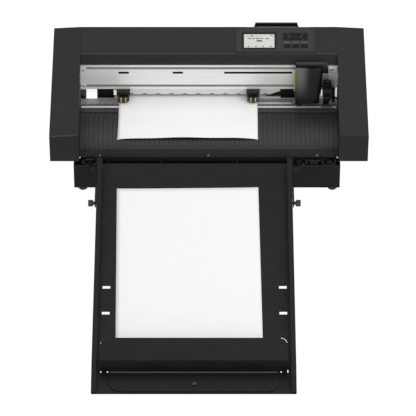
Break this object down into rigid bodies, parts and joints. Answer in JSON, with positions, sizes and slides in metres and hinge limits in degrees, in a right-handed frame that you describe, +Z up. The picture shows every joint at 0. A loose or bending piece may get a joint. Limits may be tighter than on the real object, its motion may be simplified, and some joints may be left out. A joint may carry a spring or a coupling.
{
  "type": "vinyl cutter",
  "caption": "Desktop vinyl cutter with a sliding knife carriage over pinch and grit rollers, a sloping control panel and a tilting sheet catch tray.",
  "frame": {"origin": "floor level under the middle of the whole footprint", "axes": "+Z up, front (tray end) towards -Y, +X to the right seen from the front"},
  "size_m": [0.672, 0.9504, 0.2658],
  "materials": {
    "left_side_cover": "fine textured charcoal",
    "right_side_cover": "fine textured charcoal",
    "top_cover": "fine textured charcoal",
    "front_apron": "ribbed satin black",
    "rear_guide": "bright sheet steel",
    "chassis_pan": "black",
    "left_frame_plate": "zinc plated",
    "right_frame_plate": "zinc plated",
    "platen": "grey",
    "cutting_strip": "light grey cutting mat",
    "y_rail": "clear anodised extrusion",
    "rail_bracket_right": "bright sheet steel",
    "rail_bracket_left": "bright sheet steel",
    "guide_plate": "light grey",
    "holder_track": "black",
    "grit_roller": "knurled grit zones on a plain shaft",
    "feed_gear": "moulded gear",
    "feed_pinion": "machined",
    "feed_motor": "black can",
    "carriage_motor": "black can",
    "drive_pulley": "flanged",
    "idler_pulley": "flanged",
    "carriage_belt": "toothed belt",
    "carriage_slider": "black",
    "carriage_cover": "glossy black with a yellow edge strip",
    "tool_block": "black",
    "blade_holder": "black with a blue tip",
    "lift_shaft": "bright shaft",
    "set_lever": "black",
    "panel_bezel": "dark grey",
    "display_glass": "pale grey-green display window",
    "control_board": "circuit board",
    "main_board": "circuit board",
    "base_frame": "black powder coat",
    "tray_arm_left": "charcoal powder coat",
    "tray_arm_right": "charcoal powder coat",
    "tray_screw_left": "black knurled knob on a bright screw",
    "tray_screw_right": "black knurled knob on a bright screw",
    "tray": "black powder coat",
    "tray_stopper": "black powder coat",
    "stopper_screw": "dark zinc plated",
    "loaded_sheet": "white sheet",
    "cut_sheet": "white sheet",
    "push_holder_left": "black",
    "push_arm_left": "black",
    "push_wheel_left": "black rubber with brass rings",
    "push_holder_right": "black",
    "push_arm_right": "black",
    "push_wheel_right": "black rubber with brass rings",
    "foot_front_left": "black",
    "foot_front_right": "black",
    "foot_rear_left": "black",
    "foot_rear_right": "black",
    "key_left": "dark grey key cap",
    "key_right": "dark grey key cap",
    "key_up": "dark grey key cap",
    "key_down": "dark grey key cap",
    "key_menu_1": "dark grey key cap",
    "key_menu_2": "dark grey key cap",
    "key_menu_3": "dark grey key cap"
  },
  "bodies": {
    "machine": {"left_side_cover": "left_side_cover", "right_side_cover": "right_side_cover", "top_cover": "top_cover", "front_apron": "front_apron", "rear_guide": "rear_guide", "chassis_pan": "chassis_pan", "left_frame_plate": "left_frame_plate", "right_frame_plate": "right_frame_plate", "platen": "platen", "cutting_strip": "cutting_strip", "y_rail": "y_rail", "rail_bracket_right": "rail_bracket_right", "rail_bracket_left": "rail_bracket_left", "guide_plate": "guide_plate", "holder_track": "holder_track", "feed_motor": "feed_motor", "carriage_motor": "carriage_motor", "carriage_belt": "carriage_belt", "panel_bezel": "panel_bezel", "display_glass": "display_glass", "control_board": "control_board", "main_board": "main_board", "base_frame": "base_frame", "tray_arm_left": "tray_arm_left", "tray_arm_right": "tray_arm_right", "loaded_sheet": "loaded_sheet", "foot_front_left": "foot_front_left", "foot_front_right": "foot_front_right", "foot_rear_left": "foot_rear_left", "foot_rear_right": "foot_rear_right"},
    "grit_roller": {"grit_roller": "grit_roller", "feed_gear": "feed_gear"},
    "feed_pinion": {"feed_pinion": "feed_pinion"},
    "drive_pulley": {"drive_pulley": "drive_pulley"},
    "idler_pulley": {"idler_pulley": "idler_pulley"},
    "carriage": {"carriage_slider": "carriage_slider", "carriage_cover": "carriage_cover"},
    "tool": {"tool_block": "tool_block", "blade_holder": "blade_holder"},
    "holder_left": {"push_holder_left": "push_holder_left"},
    "holder_right": {"push_holder_right": "push_holder_right"},
    "arm_left": {"push_arm_left": "push_arm_left"},
    "arm_right": {"push_arm_right": "push_arm_right"},
    "wheel_left": {"push_wheel_left": "push_wheel_left"},
    "wheel_right": {"push_wheel_right": "push_wheel_right"},
    "lift_shaft": {"lift_shaft": "lift_shaft"},
    "set_lever": {"set_lever": "set_lever"},
    "tray": {"tray": "tray", "cut_sheet": "cut_sheet"},
    "stopper": {"tray_stopper": "tray_stopper"},
    "stopper_screw": {"stopper_screw": "stopper_screw"},
    "tray_screw_left": {"tray_screw_left": "tray_screw_left"},
    "tray_screw_right": {"tray_screw_right": "tray_screw_right"},
    "key_left": {"key_left": "key_left"},
    "key_right": {"key_right": "key_right"},
    "key_up": {"key_up": "key_up"},
    "key_down": {"key_down": "key_down"},
    "key_menu_1": {"key_menu_1": "key_menu_1"},
    "key_menu_2": {"key_menu_2": "key_menu_2"},
    "key_menu_3": {"key_menu_3": "key_menu_3"}
  },
  "joints": [
    {"name": "grit_roller_spin", "type": "hinge", "parent": "machine", "child": "grit_roller", "pos_m": [0, 0.30124, 0.122], "axis": [1, 0, 0], "continuous": true},
    {"name": "feed_pinion_spin", "type": "hinge", "parent": "machine", "child": "feed_pinion", "pos_m": [-0.287, 0.32324, 0.098], "axis": [1, 0, 0], "continuous": true},
    {"name": "carriage_slide", "type": "slide", "parent": "machine", "child": "carriage", "axis": [-1, 0, 0], "range_m": [0, 0.43]},
    {"name": "drive_pulley_spin", "type": "hinge", "parent": "machine", "child": "drive_pulley", "pos_m": [0.256, 0.38724, 0.203], "axis": [0, 0, 1], "range_deg": [-2770, 0]},
    {"name": "idler_pulley_spin", "type": "hinge", "parent": "machine", "child": "idler_pulley", "pos_m": [-0.256, 0.38724, 0.203], "axis": [0, 0, 1], "range_deg": [-2770, 0]},
    {"name": "tool_lift", "type": "slide", "parent": "carriage", "child": "tool", "axis": [0, 0, -1], "range_m": [0, 0.0025], "stiffness_N_per_m": 250, "springref_m": -0.004},
    {"name": "holder_left_slide", "type": "slide", "parent": "machine", "child": "holder_left", "axis": [1, 0, 0], "range_m": [-0.056, 0.1]},
    {"name": "arm_left_lift", "type": "hinge", "parent": "holder_left", "child": "arm_left", "pos_m": [-0.1835, 0.31524, 0.1465], "axis": [-1, 0, 0], "range_deg": [0, 12]},
    {"name": "wheel_left_spin", "type": "hinge", "parent": "arm_left", "child": "wheel_left", "pos_m": [-0.1835, 0.30124, 0.13705], "axis": [1, 0, 0], "continuous": true},
    {"name": "holder_right_slide", "type": "slide", "parent": "machine", "child": "holder_right", "axis": [1, 0, 0], "range_m": [-0.05, 0.08]},
    {"name": "arm_right_lift", "type": "hinge", "parent": "holder_right", "child": "arm_right", "pos_m": [0.0947, 0.31524, 0.1465], "axis": [-1, 0, 0], "range_deg": [0, 12]},
    {"name": "wheel_right_spin", "type": "hinge", "parent": "arm_right", "child": "wheel_right", "pos_m": [0.0947, 0.30124, 0.13705], "axis": [1, 0, 0], "continuous": true},
    {"name": "lift_shaft_turn", "type": "hinge", "parent": "machine", "child": "lift_shaft", "pos_m": [0, 0.33924, 0.172], "axis": [-1, 0, 0], "range_deg": [0, 12]},
    {"name": "set_lever_turn", "type": "hinge", "parent": "machine", "child": "set_lever", "pos_m": [0.145, 0.41724, 0.175], "axis": [-1, 0, 0], "range_deg": [0, 22]},
    {"name": "tray_tilt", "type": "hinge", "parent": "machine", "child": "tray", "pos_m": [-0.03025, 0.01216, 0.08972], "axis": [-1, 0, 0], "range_deg": [0, 35]},
    {"name": "stopper_lift", "type": "slide", "parent": "tray", "child": "stopper", "axis": [0, -0.1571, 0.9876], "range_m": [0, 0.04]},
    {"name": "stopper_screw_turn", "type": "hinge", "parent": "stopper", "child": "stopper_screw", "pos_m": [-0.03025, -0.45075, 0.00797], "axis": [0, -0.1571, 0.9876], "continuous": true},
    {"name": "tray_screw_left_turn", "type": "hinge", "parent": "machine", "child": "tray_screw_left", "pos_m": [-0.237, 0.01216, 0.08972], "axis": [1, 0, 0], "continuous": true},
    {"name": "tray_screw_right_turn", "type": "hinge", "parent": "machine", "child": "tray_screw_right", "pos_m": [0.1765, 0.01216, 0.08972], "axis": [1, 0, 0], "continuous": true},
    {"name": "key_left_press", "type": "slide", "parent": "machine", "child": "key_left", "axis": [0, 0.3476, -0.9377], "range_m": [0, 0.001], "stiffness_N_per_m": 300, "springref_m": -0.0006},
    {"name": "key_right_press", "type": "slide", "parent": "machine", "child": "key_right", "axis": [0, 0.3476, -0.9377], "range_m": [0, 0.001], "stiffness_N_per_m": 300, "springref_m": -0.0006},
    {"name": "key_up_press", "type": "slide", "parent": "machine", "child": "key_up", "axis": [0, 0.3476, -0.9377], "range_m": [0, 0.001], "stiffness_N_per_m": 300, "springref_m": -0.0006},
    {"name": "key_down_press", "type": "slide", "parent": "machine", "child": "key_down", "axis": [0, 0.3476, -0.9377], "range_m": [0, 0.001], "stiffness_N_per_m": 300, "springref_m": -0.0006},
    {"name": "key_menu_1_press", "type": "slide", "parent": "machine", "child": "key_menu_1", "axis": [0, 0.3476, -0.9377], "range_m": [0, 0.001], "stiffness_N_per_m": 300, "springref_m": -0.0006},
    {"name": "key_menu_2_press", "type": "slide", "parent": "machine", "child": "key_menu_2", "axis": [0, 0.3476, -0.9377], "range_m": [0, 0.001], "stiffness_N_per_m": 300, "springref_m": -0.0006},
    {"name": "key_menu_3_press", "type": "slide", "parent": "machine", "child": "key_menu_3", "axis": [0, 0.3476, -0.9377], "range_m": [0, 0.001], "stiffness_N_per_m": 300, "springref_m": -0.0006}
  ],
  "couplings": [
    {"joint": "feed_pinion_spin", "follows": "grit_roller_spin", "ratio": -2.3333},
    {"joint": "wheel_left_spin", "follows": "grit_roller_spin", "ratio": -1.2308},
    {"joint": "wheel_right_spin", "follows": "grit_roller_spin", "ratio": -1.2308},
    {"joint": "drive_pulley_spin", "follows": "carriage_slide", "rad_per_m": -112.36},
    {"joint": "idler_pulley_spin", "follows": "carriage_slide", "rad_per_m": -112.36},
    {"joint": "arm_left_lift", "follows": "set_lever_turn", "ratio": 0.54545},
    {"joint": "arm_right_lift", "follows": "set_lever_turn", "ratio": 0.54545},
    {"joint": "lift_shaft_turn", "follows": "set_lever_turn", "ratio": 0.54545}
  ]
}
